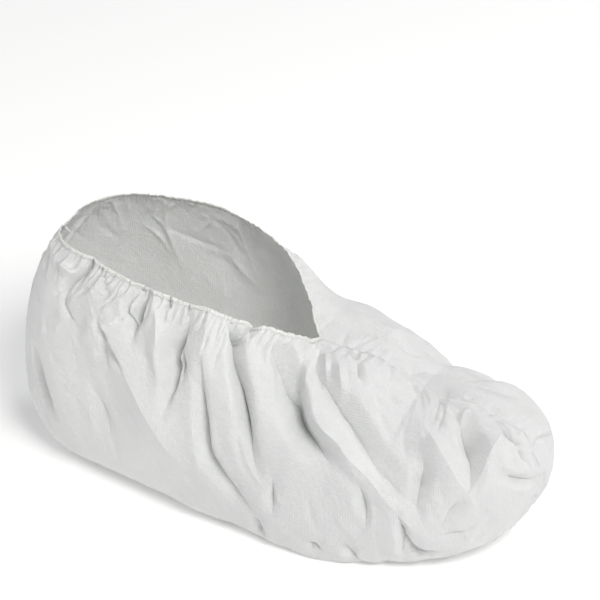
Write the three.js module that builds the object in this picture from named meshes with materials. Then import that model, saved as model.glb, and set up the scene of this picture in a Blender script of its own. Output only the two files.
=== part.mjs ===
// A disposable shoe cover: two mirrored side panels of white laminated nonwoven, joined all round the centre
// line by one seam, with a narrow gathered elastic hem round the opening. It stands open on its own sole.
// Millimetres, +X towards the toe, +Y to the wearer's left, +Z up, with the sole on z = 0.
import * as THREE from 'three';
import { mergeVertices } from 'three/addons/utils/BufferGeometryUtils.js';

// ---- driving dimensions ----
const clothWall = 1.2;
const pieceGap = 0.3;
const seamThickness = 1.2;
const seamAllowance = 3;
const hemHeight = 4;
const hemThickness = 2;
const hemGatherPitch = 9;
const hemGatherDepth = 0.7;
const panelEdgeY = seamThickness / 2 + pieceGap;
const soleSeamMiddleX = -12;

// Upright sections of one panel, from the heel seam to the toe seam. Each section turns about an upright line
// at pivotX: 180 degrees points at the heel, 270 degrees square to the length, 360 degrees at the toe. It runs
// from the middle of the sole, flat to soleRadius, round to the bulge, then up and in to the top edge. A
// topRadius below 0 counts as 0: past the front of the opening the panel ends on the centre line.
const sectionColumns = [
  'pivotX', 'turn', 'soleRadius', 'bulgeRadius', 'bulgeHeight', 'topRadius', 'topHeight', 'lean', 'roundness'];
const sectionRows = [
  [-114, 180, 27, 61, 48, 42, 140, 64, 1.00],
  [-114, 212, 31, 59, 46, 40, 146, 64, 0.98],
  [-113, 243, 34, 59, 46, 40, 148, 64, 0.96],
  [-106, 270, 35, 62, 47, 44, 148, 64, 0.96],
  [-66, 270, 42, 69, 45, 53, 145, 64, 0.96],
  [-20, 270, 53, 77, 42, 46, 133, 69, 0.94],
  [2, 270, 57, 78, 41, 29, 120, 78, 0.92],
  [26, 270, 65, 80, 37, 0, 107, 90, 0.90],
  [55, 270, 68, 77, 34, -32, 107, 90, 0.88],
  [92, 270, 50, 72, 37, -32, 95, 90, 0.85],
  [92, 300, 38, 70, 40, -32, 95, 90, 0.82],
  [92, 330, 32, 70, 43, -32, 95, 90, 0.82],
  [92, 360, 31, 72, 43, -32, 95, 90, 0.85],
];
const openingFrontRow = 7;
const toePivotRow = 9;

// Folds of a panel. Station is millimetres from the heel seam, measured round the bulge, and rise goes from 0
// at the middle of the sole to 1 at the top edge. A fold runs from its head past its middle to its foot, where
// it dies out; headShare is the part of its depth left at the head. Depth below 0 is a valley, above 0 a ridge.
const foldColumns = [
  'headStation', 'headRise', 'middleStation', 'middleRise', 'footStation', 'footRise',
  'depth', 'heelSideWidth', 'toeSideWidth', 'headShare'];
const rightFolds = [
  [92, 0.97, 84, 0.88, 64, 0.78, -4, 14, 13, 0.9],
  [112, 0.82, 144, 0.67, 195, 0.42, 5, 26, 20, 0.3],
  [137, 0.97, 134, 0.86, 134, 0.74, -6, 13, 12, 0.8],
  [153, 0.98, 158, 0.84, 162, 0.70, 3, 14, 10, 0.4],
  [176, 0.97, 170, 0.80, 164, 0.60, -8, 15, 15, 0.7],
  [192, 0.84, 204, 0.58, 230, 0.36, -6, 20, 16, 0],
  [199, 0.96, 212, 0.74, 234, 0.50, -5, 14, 14, 0.6],
  [222, 0.93, 244, 0.75, 284, 0.58, -9, 20, 18, 0.4],
  [236, 0.92, 272, 0.70, 328, 0.45, 6, 18, 14, 0.2],
  [238, 0.96, 290, 0.71, 332, 0.47, -8, 15, 24, 0.3],
  [328, 0.84, 344, 0.71, 358, 0.58, 5, 16, 14, 0.2],
  [374, 0.86, 369, 0.74, 360, 0.58, -8, 15, 17, 0.4],
  [402, 0.82, 386, 0.71, 366, 0.56, 5, 16, 18, 0.3],
  [40, 0.66, 60, 0.54, 80, 0.38, -4, 15, 15, 0.4],
];
const leftFolds = [
  [60, 0.97, 66, 0.84, 58, 0.68, -4, 15, 14, 0.8],
  [104, 0.97, 100, 0.84, 108, 0.62, -5, 15, 15, 0.7],
  [118, 0.92, 140, 0.70, 170, 0.46, 4, 22, 20, 0.3],
  [150, 0.97, 152, 0.82, 160, 0.62, -6, 15, 15, 0.7],
  [182, 0.97, 188, 0.80, 204, 0.56, -5, 15, 15, 0.6],
  [205, 0.96, 224, 0.74, 258, 0.50, 4, 18, 16, 0.3],
  [218, 0.96, 244, 0.72, 284, 0.46, -7, 18, 18, 0.5],
  [232, 0.95, 256, 0.91, 286, 0.90, -6, 13, 14, 0.5],
  [236, 0.90, 264, 0.84, 296, 0.84, 5, 14, 16, 0.3],
  [284, 0.86, 304, 0.68, 328, 0.44, -7, 18, 18, 0.1],
  [344, 0.90, 350, 0.74, 346, 0.54, -5, 16, 16, 0.3],
  [342, 0.90, 370, 0.86, 380, 0.74, -5, 14, 14, 0.4],
  [356, 0.78, 362, 0.68, 362, 0.54, 4, 16, 16, 0.2],
];

// Dents that pull both panels and the seam in, each round a point of the centre line.
const seamPocketColumns = ['x', 'z', 'radius', 'depth'];
const seamPocketRows = [
  [78, 101, 11, 5],
  [104, 95, 8, 3],
  [140, 84, 8, 2.5],
  [156, 68, 8, 2.5],
];

// The elastic draws the top of each panel into gathers that fade out down the side.
const gatherPitch = 22;
const gatherDepth = 1.6;
const gatherFadeRise = 0.84;

// Mesh steps: stations are closer where the elastic gathers the cloth.
const heelStep = 8.5;
const gatheredStep = 6;
const toeStep = 8.2;
const gatheredFrom = 58;
const soleRises = [0, 0.13];
const wallRiseFrom = 0.21;
const wallRiseSteps = 17;
const foldSteps = 12;
const seamStep = 8;
const seamRiseStep = 0.04;
const seamClearOfHem = 0.4;
const hemPartsPerStep = 2;
const hemSeatGap = 0.4;
const mergeDistance = 1e-3;

const clothWhite = 0xeeeeec;
const hemWhite = 0xeff0ea;
const clothRoughness = 0.75;

// ---- the form of a panel ----
const table = (columns, rows) =>
  rows.map((row) => Object.fromEntries(columns.map((name, index) => [name, row[index]])));
const smoothstep = (low, high, value) => THREE.MathUtils.smoothstep(value, low, high);
const radians = THREE.MathUtils.degToRad;

const sections = table(sectionColumns, sectionRows);
const seamPockets = table(seamPocketColumns, seamPocketRows);

// A section part way between two rows, on a curve that doesn't swing past the rows.
function sectionAt(rowPosition) {
  const row = Math.min(Math.floor(rowPosition), sections.length - 2);
  const share = rowPosition - row;
  const meanSlope = (before, after) => (before * after > 0 ? (2 * before * after) / (before + after) : 0);
  const section = {};
  for (const name of sectionColumns) {
    const start = sections[row][name];
    const end = sections[row + 1][name];
    const step = end - start;
    const stepBefore = row > 0 ? start - sections[row - 1][name] : step;
    const stepAfter = row < sections.length - 2 ? sections[row + 2][name] - end : step;
    const blend = share * share * (3 - 2 * share);
    section[name] = start + step * blend
      + meanSlope(stepBefore, step) * share * (1 - share) ** 2
      - meanSlope(step, stepAfter) * share * share * (1 - share);
  }
  return section;
}

// Cumulative length round the bulge, which turns a station in millimetres into a place between two rows.
const stationSamples = 480;
const stationTable = [];
for (let index = 0, length = 0, last = null; index <= stationSamples; index += 1) {
  const rowPosition = (index / stationSamples) * (sections.length - 1);
  const section = sectionAt(rowPosition);
  const turn = radians(section.turn);
  const point = new THREE.Vector2(
    section.pivotX + section.bulgeRadius * Math.cos(turn), section.bulgeRadius * Math.sin(turn));
  length += last ? point.distanceTo(last) : 0;
  stationTable.push({ rowPosition, length });
  last = point;
}
const panelLength = stationTable[stationSamples].length;

function rowAtStation(station) {
  const found = stationTable.findIndex((entry) => entry.length >= station);
  const index = found < 0 ? stationSamples : Math.max(found, 1);
  const before = stationTable[index - 1];
  const after = stationTable[index];
  const share = THREE.MathUtils.clamp((station - before.length) / (after.length - before.length), 0, 1);
  return before.rowPosition + share * (after.rowPosition - before.rowPosition);
}
const stationAtRow = (row) => stationTable[Math.round((row / (sections.length - 1)) * stationSamples)].length;

// The outline of one section as [radius, height] points, at equal shares of its length.
const outlineSamples = 90;
function sectionOutline(section) {
  const { soleRadius, bulgeRadius, bulgeHeight, topHeight, roundness } = section;
  const topRadius = Math.max(section.topRadius, 0);
  const lean = radians(section.lean);
  const cosTop = Math.max(Math.cos(lean), 0) ** roundness;
  const sinTop = Math.sin(lean) ** roundness;
  const points = [new THREE.Vector2(0, 0), new THREE.Vector2(soleRadius, 0)];
  for (let index = 1; index <= outlineSamples; index += 1) {
    const angle = (index / outlineSamples) * (Math.PI / 2);
    points.push(new THREE.Vector2(
      soleRadius + (bulgeRadius - soleRadius) * Math.sin(angle), bulgeHeight * (1 - Math.cos(angle))));
  }
  for (let index = 1; index <= outlineSamples; index += 1) {
    const angle = (index / outlineSamples) * lean;
    const inward = (Math.max(Math.cos(angle), 0) ** roundness - cosTop) / (1 - cosTop);
    const upward = Math.sin(angle) ** roundness / sinTop;
    points.push(new THREE.Vector2(
      topRadius + (bulgeRadius - topRadius) * inward, bulgeHeight + (topHeight - bulgeHeight) * upward));
  }
  const lengths = [0];
  for (let index = 1; index < points.length; index += 1) {
    lengths.push(lengths[index - 1] + points[index].distanceTo(points[index - 1]));
  }
  return { points, lengths };
}

function outlinePoint(outline, rise) {
  const { points, lengths } = outline;
  const target = rise * lengths[lengths.length - 1];
  const index = Math.max(lengths.findIndex((length) => length >= target - 1e-9), 1);
  const share = (target - lengths[index - 1]) / (lengths[index] - lengths[index - 1]);
  return points[index - 1].clone().lerp(points[index], share);
}

// Points of the smooth right panel at one station; y is 0 on the centre plane and below 0 on this side.
function smoothColumn(station, rises) {
  const section = sectionAt(rowAtStation(station));
  const turn = radians(section.turn);
  const outline = sectionOutline(section);
  return rises.map((rise) => {
    const point = outlinePoint(outline, rise);
    return new THREE.Vector3(
      section.pivotX + point.x * Math.cos(turn), Math.min(point.x * Math.sin(turn), 0), point.y);
  });
}

// Outward normals of a grid of columns of points; where a column ends in a pole the normal is upright.
function gridNormals(grid) {
  const lastColumn = grid.length - 1;
  const lastRow = grid[0].length - 1;
  return grid.map((column, c) => column.map((point, r) => {
    const along = new THREE.Vector3()
      .subVectors(grid[Math.min(c + 1, lastColumn)][r], grid[Math.max(c - 1, 0)][r]);
    const up = new THREE.Vector3().subVectors(column[Math.min(r + 1, lastRow)], column[Math.max(r - 1, 0)]);
    const normal = along.cross(up);
    if (normal.length() < 1e-4) return new THREE.Vector3(0, 0, r === 0 ? -1 : 1);
    return normal.normalize();
  }));
}

// A fold's course over the smooth panel, as points with their share of the way from head to foot.
function foldCourse(fold) {
  const course = [];
  for (let index = 0; index <= foldSteps; index += 1) {
    const way = index / foldSteps;
    const headWeight = (1 - way) * (1 - 2 * way);
    const middleWeight = 4 * way * (1 - way);
    const footWeight = way * (2 * way - 1);
    const weigh = (head, middle, foot) => head * headWeight + middle * middleWeight + foot * footWeight;
    const station = weigh(fold.headStation, fold.middleStation, fold.footStation);
    const rise = weigh(fold.headRise, fold.middleRise, fold.footRise);
    course.push(smoothColumn(station, [Math.min(rise, 1)])[0]);
  }
  return course;
}

function foldRelief(fold, course, point, normal) {
  let nearest = { distance: Infinity };
  for (let index = 0; index < foldSteps; index += 1) {
    const leg = new THREE.Vector3().subVectors(course[index + 1], course[index]);
    const offset = new THREE.Vector3().subVectors(point, course[index]);
    const share = THREE.MathUtils.clamp(offset.dot(leg) / leg.lengthSq(), 0, 1);
    const away = offset.clone().addScaledVector(leg, -share);
    if (away.length() < nearest.distance) {
      const toeSide = leg.cross(offset).dot(normal) > 0;
      nearest = { distance: away.length(), way: (index + share) / foldSteps, toeSide };
    }
  }
  const width = nearest.toeSide ? fold.toeSideWidth : fold.heelSideWidth;
  if (nearest.distance >= width) return 0;
  const across = (1 + Math.cos((Math.PI * nearest.distance) / width)) / 2;
  const along = nearest.way < 0.5
    ? fold.headShare + (1 - fold.headShare) * smoothstep(0, 0.5, nearest.way)
    : 1 - smoothstep(0.5, 1, nearest.way);
  return fold.depth * across * along;
}

function seamPocketRelief(point) {
  return seamPockets.reduce((sum, pocket) => {
    const distance = Math.hypot(point.x - pocket.x, point.y, point.z - pocket.z);
    return sum - pocket.depth * Math.exp(-((distance / pocket.radius) ** 2));
  }, 0);
}

function gatherRelief(station, rise, openingFront) {
  if (station > openingFront + gatherPitch) return 0;
  const triangle = Math.asin(Math.sin((2 * Math.PI * station) / gatherPitch)) / (Math.PI / 2);
  const nearFront = 1 - smoothstep(openingFront - gatherPitch, openingFront + gatherPitch, station);
  return gatherDepth * triangle * nearFront * smoothstep(gatherFadeRise, 1, rise) * smoothstep(0, 20, station);
}

const openingFront = stationAtRow(openingFrontRow);
const toeFront = stationAtRow(toePivotRow);

function spread(from, to, step) {
  const count = Math.round(Math.abs(to - from) / step);
  return Array.from({ length: count }, (unused, index) => from + ((to - from) * index) / count);
}
const panelStations = [
  ...spread(0, gatheredFrom, heelStep),
  ...spread(gatheredFrom, openingFront, gatheredStep),
  ...spread(openingFront, toeFront, toeStep),
  ...spread(toeFront, panelLength, toeStep),
  panelLength,
];
const panelRises = [
  ...soleRises,
  ...Array.from({ length: wallRiseSteps + 1 }, (unused, index) =>
    wallRiseFrom + ((1 - wallRiseFrom) * index) / wallRiseSteps),
];

// The outer face of one panel, drawn as the right one: the smooth form moved along its normal by its folds.
function outerFace(folds) {
  const smooth = panelStations.map((station) => smoothColumn(station, panelRises));
  const normals = gridNormals(smooth);
  const courses = folds.map(foldCourse);
  return smooth.map((column, c) => column.map((point, r) => {
    const rise = panelRises[r];
    const clearOfSeam = smoothstep(0, 9, -point.y);
    const clearOfSole = smoothstep(0.24, 0.34, rise);
    const folded = folds.reduce((sum, fold, f) => sum + foldRelief(fold, courses[f], point, normals[c][r]), 0);
    const gathered = gatherRelief(panelStations[c], rise, openingFront);
    const relief = clearOfSole * (clearOfSeam * (folded + gathered) + seamPocketRelief(point));
    const moved = point.clone().addScaledVector(normals[c][r], relief);
    moved.y = Math.min(moved.y, 0) - panelEdgeY;
    moved.z = Math.max(moved.z, 0);
    return moved;
  }));
}

// ---- solids ----
// A closed body from two faces with the same columns and rows, the second behind the first. Squares are split
// the way most folds run, down towards the toe. A ring's last column is its first again, so it has no ends.
function shellGeometry(front, back, { mirrored = false, ring = false } = {}) {
  const columns = front.length;
  const rows = front[0].length;
  const place = (face, c, r) => (face * columns + c) * rows + r;
  const triangles = [];
  const quad = (a, b, c, d) => triangles.push([a, b, d], [b, c, d]);
  for (let c = 0; c < columns - 1; c += 1) {
    for (let r = 0; r < rows - 1; r += 1) {
      quad(place(0, c, r), place(0, c + 1, r), place(0, c + 1, r + 1), place(0, c, r + 1));
      quad(place(1, c, r + 1), place(1, c + 1, r + 1), place(1, c + 1, r), place(1, c, r));
    }
    const top = rows - 1;
    quad(place(0, c, 0), place(1, c, 0), place(1, c + 1, 0), place(0, c + 1, 0));
    quad(place(0, c, top), place(0, c + 1, top), place(1, c + 1, top), place(1, c, top));
  }
  for (let r = 0; !ring && r < rows - 1; r += 1) {
    const end = columns - 1;
    quad(place(0, 0, r), place(0, 0, r + 1), place(1, 0, r + 1), place(1, 0, r));
    quad(place(0, end, r), place(1, end, r), place(1, end, r + 1), place(0, end, r + 1));
  }
  return closedGeometry([...front.flat(), ...back.flat()], triangles, mirrored);
}

// Merges the points that coincide at the poles and drops the triangles that this closes up.
function closedGeometry(points, triangles, mirrored) {
  const side = mirrored ? -1 : 1;
  const geometry = new THREE.BufferGeometry();
  geometry.setAttribute('position', new THREE.Float32BufferAttribute(
    points.flatMap((point) => [point.x, side * point.y, point.z]), 3));
  geometry.setIndex(triangles.flat());
  const merged = mergeVertices(geometry, mergeDistance);
  const index = Array.from(merged.index.array);
  const kept = [];
  for (let at = 0; at < index.length; at += 3) {
    const [a, b, c] = index.slice(at, at + 3);
    if (a !== b && b !== c && c !== a) kept.push(...(mirrored ? [a, c, b] : [a, b, c]));
  }
  merged.setIndex(kept);
  merged.computeVertexNormals();
  return merged;
}

// The inner face of a panel lies one wall inside the outer one and keeps to the same side of the seam.
function innerFace(outer) {
  const normals = gridNormals(outer);
  return outer.map((column, c) => column.map((point, r) => {
    const inner = point.clone().addScaledVector(normals[c][r], -clothWall);
    inner.y = point.y > -panelEdgeY - mergeDistance ? -panelEdgeY : Math.min(inner.y, -panelEdgeY);
    return inner;
  }));
}

// A seam follows the centre line, with the cover's outside on the right of the way it runs seen from +Y.
// Its outer edge lies a little inside the cloth, and the rest of it is the allowance turned inwards.
function seamGeometry(line) {
  const last = line.length - 1;
  const edge = (y, inset) => line.map((point, index) => {
    const run = new THREE.Vector3().subVectors(line[Math.min(index + 1, last)], line[Math.max(index - 1, 0)]);
    const outward = new THREE.Vector3(-run.z, 0, run.x).normalize();
    const moved = point.clone().addScaledVector(outward, seamPocketRelief(point) - inset);
    moved.y = y;
    return moved;
  });
  const [right, left] = [-seamThickness / 2, seamThickness / 2].map((y) => {
    const inner = edge(y, clothWall + seamAllowance);
    return edge(y, pieceGap).map((outer, index) => [inner[index], outer]);
  });
  return shellGeometry(right, left);
}

const onCentreLine = (station, rise) => smoothColumn(station, [rise])[0].setY(0);

function toeSeamLine() {
  const instep = spread(openingFront + seamClearOfHem, toeFront, seamStep)
    .map((station) => onCentreLine(station, 1));
  const toe = spread(1, 0, seamRiseStep).map((rise) => onCentreLine(panelLength, rise));
  return [...instep, ...toe, new THREE.Vector3(soleSeamMiddleX + pieceGap / 2, 0, 0)];
}

function heelSeamLine() {
  const heel = [...spread(0, 1, seamRiseStep), 1].map((rise) => onCentreLine(0, rise));
  return [new THREE.Vector3(soleSeamMiddleX - pieceGap / 2, 0, 0), ...heel];
}

// The hem stands on the top edges of both panels, square to them, as one gathered ring of cloth and elastic. It
// is as thick as the cloth at its foot and waves at its crest.
function hemGeometry(rightOuter, rightInner, leftOuter, leftInner) {
  const edgeOf = (outer, inner, side) => outer
    .map((column, c) => ({ column, innerColumn: inner[c] }))
    .filter((unused, c) => panelStations[c] < openingFront + mergeDistance)
    .map(({ column, innerColumn }) => {
      const top = column.length - 1;
      const mirror = new THREE.Vector3(1, side, 1);
      const [face, back] = [column[top], innerColumn[top]].map((point) => point.clone().multiply(mirror));
      return {
        middle: face.clone().add(back).multiplyScalar(0.5),
        normal: face.clone().sub(back).normalize(),
      };
    });
  const loop = [...edgeOf(rightOuter, rightInner, 1), ...edgeOf(leftOuter, leftInner, -1).reverse()];
  const rising = loop.map(({ normal }, index) => {
    const before = loop[(index + loop.length - 1) % loop.length].middle;
    const after = loop[(index + 1) % loop.length].middle;
    return new THREE.Vector3().crossVectors(normal, after.clone().sub(before)).normalize();
  });
  const front = [];
  const back = [];
  let run = 0;
  for (let index = 0; index <= loop.length; index += 1) {
    const from = index % loop.length;
    const to = (index + 1) % loop.length;
    const stepLength = loop[from].middle.distanceTo(loop[to].middle);
    for (let part = 0; part < (index < loop.length ? hemPartsPerStep : 1); part += 1) {
      const share = part / hemPartsPerStep;
      const middle = loop[from].middle.clone().lerp(loop[to].middle, share);
      const normal = loop[from].normal.clone().lerp(loop[to].normal, share).normalize();
      const rise = rising[from].clone().lerp(rising[to], share).normalize();
      const wave = index < loop.length
        ? hemGatherDepth * Math.sin((2 * Math.PI * (run + share * stepLength)) / hemGatherPitch) : 0;
      const seat = middle.clone().addScaledVector(rise, hemSeatGap);
      const crest = seat.clone().addScaledVector(rise, hemHeight).addScaledVector(normal, wave);
      front.push([seat.clone().addScaledVector(normal, clothWall / 2),
        crest.clone().addScaledVector(normal, hemThickness / 2)]);
      back.push([seat.addScaledVector(normal, -clothWall / 2), crest.addScaledVector(normal, -hemThickness / 2)]);
    }
    run += stepLength;
  }
  return shellGeometry(front, back, { ring: true });
}

// ---- the cover ----
const group = new THREE.Group();

function addPiece(name, geometry, color) {
  const material = new THREE.MeshStandardMaterial({ color, roughness: clothRoughness, metalness: 0 });
  const mesh = new THREE.Mesh(geometry, material);
  mesh.name = name;
  group.add(mesh);
}

const rightOuter = outerFace(table(foldColumns, rightFolds));
const rightInner = innerFace(rightOuter);
const leftOuter = outerFace(table(foldColumns, leftFolds));
const leftInner = innerFace(leftOuter);

addPiece('side_panel_right', shellGeometry(rightOuter, rightInner), clothWhite);
addPiece('side_panel_left', shellGeometry(leftOuter, leftInner, { mirrored: true }), clothWhite);
addPiece('toe_seam', seamGeometry(toeSeamLine()), clothWhite);
addPiece('heel_seam', seamGeometry(heelSeamLine()), clothWhite);
addPiece('opening_hem', hemGeometry(rightOuter, rightInner, leftOuter, leftInner), hemWhite);

// The origin is the middle of the footprint.
const extent = new THREE.Box3().setFromObject(group);
const centre = extent.getCenter(new THREE.Vector3());
group.position.set(-centre.x, -centre.y, -extent.min.z);

export default group;
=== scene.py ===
# A disposable shoe cover: two gathered side panels of white laminated nonwoven, sewn together all round the
# centre line, with an elastic hem round the opening. It stands open and empty on its own sole.
import itertools
import math
import bpy
import numpy as np
from mathutils import Matrix, Vector


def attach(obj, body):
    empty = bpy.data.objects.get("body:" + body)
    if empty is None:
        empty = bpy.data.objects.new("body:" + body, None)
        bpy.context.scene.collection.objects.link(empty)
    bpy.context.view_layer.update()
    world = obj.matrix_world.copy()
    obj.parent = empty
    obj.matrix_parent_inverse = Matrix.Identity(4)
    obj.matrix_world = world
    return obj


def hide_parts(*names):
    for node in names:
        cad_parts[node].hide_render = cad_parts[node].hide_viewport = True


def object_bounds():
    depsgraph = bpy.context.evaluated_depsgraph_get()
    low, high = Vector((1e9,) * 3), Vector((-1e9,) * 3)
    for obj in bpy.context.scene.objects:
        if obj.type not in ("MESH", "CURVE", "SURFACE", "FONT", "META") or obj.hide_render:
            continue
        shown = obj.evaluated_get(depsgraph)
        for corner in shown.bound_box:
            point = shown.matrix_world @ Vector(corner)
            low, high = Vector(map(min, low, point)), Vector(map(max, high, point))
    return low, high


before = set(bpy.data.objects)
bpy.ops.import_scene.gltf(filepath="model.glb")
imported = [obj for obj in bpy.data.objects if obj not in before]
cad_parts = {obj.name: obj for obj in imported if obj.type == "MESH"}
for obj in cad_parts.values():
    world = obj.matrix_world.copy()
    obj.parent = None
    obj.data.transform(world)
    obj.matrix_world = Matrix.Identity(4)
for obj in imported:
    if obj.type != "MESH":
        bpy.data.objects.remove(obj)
cad_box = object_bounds()


# ---- Right side panel ----
# A curved blank of thin white nonwoven laminated to plastic film, cut flat, drawn in along its top edge by
# the elastic and sewn to its mirror image round the heel, under the sole and over the toe. It hangs in soft
# slanting folds below the gathers, and the film keeps small crisp creases from the packing.
MM = 0.001

# Upright sections from the heel seam to the toe seam, in millimetres and degrees: the line each turns about,
# its turn, the flat of the sole, the widest place and its height, the top edge and its height, how far the
# wall leans over, and how square its shoulder is.
PIVOT, TURN, SOLE, WIDE, WIDE_HEIGHT, TOP, TOP_HEIGHT, LEAN, SQUARE = range(9)
SECTIONS = np.array([
    (-114, 180, 27, 61, 48, 35, 142, 70, 1.00),
    (-114, 212, 31, 59, 46, 35, 148, 70, 0.98),
    (-113, 243, 34, 59, 46, 37, 150, 68, 0.96),
    (-106, 270, 35, 62, 47, 42, 151, 66, 0.96),
    (-66, 270, 42, 69, 45, 50, 146.5, 64, 0.96),
    (-20, 270, 53, 77, 42, 43, 136.5, 69, 0.94),
    (2, 270, 57, 78, 41, 28, 125, 78, 0.92),
    (26, 270, 65, 80, 37, 0, 108, 90, 0.90),
    (55, 270, 68, 77, 34, -32, 107, 90, 0.88),
    (92, 270, 50, 72, 37, -32, 94, 90, 0.85),
    (92, 300, 38, 70, 40, -32, 94, 90, 0.82),
    (92, 330, 32, 72, 46, -32, 94, 90, 0.79),
    (92, 360, 31, 76, 50, -32, 94, 90, 0.77)], float)
FRONT_ROW = 7

# The toe's tip in the table's own measure lies at the toe end of the frame.
TOE_TIP = 164.0
SHIFT_X = cad_box[1][0] / MM - TOE_TIP


def section_at(position, rows):
    """Sections part way between two rows, on a curve that doesn't swing past the rows."""
    steps = np.diff(rows, axis=0)
    before, after = steps[:-1], steps[1:]
    turning = before * after > 0
    slopes = rows * 0.0
    slopes[1:-1][turning] = (2 * before * after)[turning] / (before + after)[turning]
    slopes[0], slopes[-1] = steps[0], steps[-1]
    row = np.clip(position.astype(int), 0, len(rows) - 2)
    share = (position - row)[:, None]
    rest = 1 - share
    return (rows[row] * (1 + 2 * share) * rest ** 2 + rows[row + 1] * share ** 2 * (3 - 2 * share)
            + slopes[row] * share * rest ** 2 - slopes[row + 1] * share ** 2 * rest)


# A station is the way round the panel's widest line from the heel seam, in mm.
place = np.linspace(0, len(SECTIONS) - 1, 2401)
between = section_at(place, SECTIONS)
turned = np.radians(between[:, TURN])
bulge = np.stack([between[:, PIVOT] + between[:, WIDE] * np.cos(turned), between[:, WIDE] * np.sin(turned)],
                 axis=1)
station_of_place = np.concatenate([[0], np.cumsum(np.linalg.norm(np.diff(bulge, axis=0), axis=1))])
PANEL_LENGTH = station_of_place[-1]
FRONT = float(np.interp(FRONT_ROW, place, station_of_place))


def smooth_panel(stations, rises, rows=SECTIONS):
    """Points of the right panel without its folds. A rise goes from 0 in the middle of the sole to 1 at the
    top edge, in even measure up the cloth."""
    grid = np.zeros((len(stations), len(rises), 3))
    share = np.linspace(0, 1, 120)
    low = share * math.pi / 2
    found = section_at(np.interp(stations, station_of_place, place), rows)
    for column, section in zip(grid, found):
        pivot, turned, sole, wide, wide_height, top, height, lean, square = section
        top = max(top, 0.0)
        over = share * math.radians(lean)
        cos_top = max(math.cos(math.radians(lean)), 0.0) ** square
        inward = (np.maximum(np.cos(over), 0) ** square - cos_top) / (1 - cos_top)
        upward = np.sin(over) ** square / math.sin(math.radians(lean)) ** square
        radius = np.concatenate([[0], sole + (wide - sole) * np.sin(low), (top + (wide - top) * inward)[1:]])
        level = np.concatenate([[0], wide_height * (1 - np.cos(low)),
                                (wide_height + (height - wide_height) * upward)[1:]])
        length = np.concatenate([[0], np.cumsum(np.hypot(np.diff(radius), np.diff(level)))])
        out = np.interp(rises * length[-1], length, radius)
        column[:, 0] = pivot + out * math.cos(math.radians(turned))
        column[:, 1] = np.minimum(out * math.sin(math.radians(turned)), 0)
        column[:, 2] = np.interp(rises * length[-1], length, level)
    return grid


MID_HEIGHT = 40.0


def grid_normals(grid):
    """Outward normals of a grid of points, straight up or down where it closes to a pole."""
    along = np.gradient(grid, axis=0)
    up = np.gradient(grid, axis=1)
    normal = np.cross(along, up)
    size = np.linalg.norm(normal, axis=2, keepdims=True)
    upright = np.where(grid[..., 2:] > MID_HEIGHT, 1.0, -1.0) * np.array([0, 0, 1.0])
    return np.where(size > 1e-5, normal / np.maximum(size, 1e-9), upright)


def smoothstep(low, high, value):
    """0 up to low, 1 from high on, and an eased rise between."""
    share = np.clip((value - low) / (high - low), 0, 1)
    return share * share * (3 - 2 * share)


# A coarse copy of the panel on which the courses of the folds are looked up.
guide_stations = np.linspace(0, PANEL_LENGTH, 418)
guide_rises = np.linspace(0, 1, 201)


def course_on(guide, waypoints, step=3.0):
    """A fold's course through (station, rise) waypoints, as points about one step apart."""
    marks = np.array(waypoints, float)
    marks[:, 1] = np.clip(marks[:, 1], 0, 1)
    way = np.linspace(0, len(marks) - 1, 12 * (len(marks) - 1) + 1)
    left = np.clip(way.astype(int), 0, len(marks) - 2)
    share = (way - left)[:, None]
    before = marks[np.maximum(left - 1, 0)]
    after = marks[np.minimum(left + 2, len(marks) - 1)]
    start, end = marks[left], marks[left + 1]
    line = 0.5 * (2 * start + (end - before) * share + (2 * before - 5 * start + 4 * end - after) * share ** 2
                  + (3 * start - before - 3 * end + after) * share ** 3)
    column = np.clip(line[:, 0] / PANEL_LENGTH, 0, 1) * (len(guide) - 1)
    row = np.clip(line[:, 1], 0, 1) * (guide.shape[1] - 1)
    start = np.minimum(column.astype(int), len(guide) - 2)
    low = np.minimum(row.astype(int), guide.shape[1] - 2)
    along, up = (column - start)[:, None], (row - low)[:, None]
    points = ((1 - along) * (1 - up) * guide[start, low] + along * (1 - up) * guide[start + 1, low]
              + (1 - along) * up * guide[start, low + 1] + along * up * guide[start + 1, low + 1])
    length = np.concatenate([[0], np.cumsum(np.linalg.norm(np.diff(points, axis=0), axis=1))])
    even = np.linspace(0, length[-1], max(2, int(length[-1] / step) + 1))
    return np.stack([np.interp(even, length, points[:, axis]) for axis in range(3)], axis=1)


def hinge(share):
    """1 at 1 and 0 below 0, straight between, with the bend at 0 eased."""
    ease = 0.10
    return (share + np.sqrt(share ** 2 + ease ** 2)) / (1 + math.sqrt(1 + ease ** 2))


def nearest_on(course, spots, facing):
    """Where on a course each spot is nearest: the place, its distance, its share of the way and its side."""
    best = np.full(len(spots), np.inf)
    way = np.zeros(len(spots))
    place = spots.copy()
    toe_side = np.zeros(len(spots), bool)
    for index, leg in enumerate(np.diff(course, axis=0)):
        offset = spots - course[index]
        share = np.clip(offset @ leg / (leg @ leg), 0, 1)
        distance = np.linalg.norm(offset - share[:, None] * leg, axis=1)
        closer = distance < best
        best[closer] = distance[closer]
        place[closer] = course[index] + share[closer, None] * leg
        way[closer] = (index + share[closer]) / (len(course) - 1)
        toe_side[closer] = ((np.cross(leg, offset) * facing).sum(axis=1) > 0)[closer]
    return place, best, way, toe_side


def within(points, course, reach):
    """Which points are in the course's box, grown by its reach."""
    return np.all((points > course.min(axis=0) - reach) & (points < course.max(axis=0) + reach), axis=1)


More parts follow.
